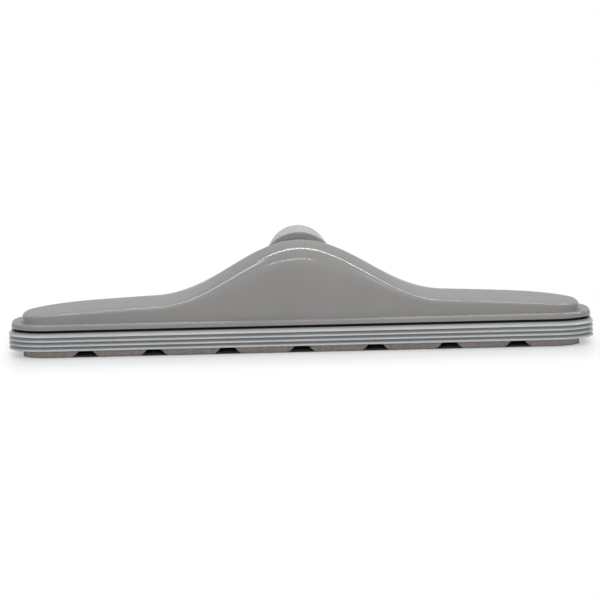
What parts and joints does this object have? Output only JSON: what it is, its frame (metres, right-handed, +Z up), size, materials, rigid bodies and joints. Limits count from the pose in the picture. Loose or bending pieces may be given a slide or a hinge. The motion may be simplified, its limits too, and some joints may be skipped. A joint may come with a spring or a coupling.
{
  "type": "vacuum floor brush head",
  "caption": "Long low floor brush head for a vacuum wand: humped moulded shell, ribbed bumper, notched bristle ring, tilting neck and swivel cuff.",
  "frame": {"origin": "on the floor, under the middle of the part's box with the neck at rest", "axes": "+X along the head to the right seen from the front, -Y to the front, +Z up"},
  "size_m": [0.356, 0.1434, 0.0648],
  "materials": {
    "shell_grey": "gloss",
    "base_dark": "satin",
    "bumper_vinyl": "satin",
    "bristle": "matte",
    "bush_white": "satin",
    "felt": "felt",
    "screw_steel": "satin",
    "neck_grey": "gloss",
    "seal_rubber": "matte",
    "cuff_light": "satin"
  },
  "bodies": {
    "head": {"top_shell": "shell_grey", "base_plate": "base_dark", "bumper": "bumper_vinyl", "brush_frame": "base_dark", "front_bristles": "bristle", "rear_bristles": "bristle", "left_end_bristles": "bristle", "right_end_bristles": "bristle", "left_neck_bush": "bush_white", "right_neck_bush": "bush_white", "front_neck_seal": "felt", "rear_neck_seal": "felt", "base_screws": "screw_steel", "brush_screws": "screw_steel"},
    "neck": {"neck_elbow": "neck_grey", "cuff_retaining_ring": "screw_steel", "cuff_seal": "seal_rubber"},
    "cuff": {"swivel_cuff": "cuff_light"}
  },
  "joints": [
    {"name": "neck_tilt", "type": "hinge", "parent": "head", "child": "neck", "pos_m": [0, -0.01572, 0.0385], "axis": [1, 0, 0], "range_deg": [0, 60]},
    {"name": "cuff_swivel", "type": "hinge", "parent": "neck", "child": "cuff", "pos_m": [0, 0.04439, 0.04323], "axis": [0, 0.9969, 0.0785], "continuous": true}
  ]
}
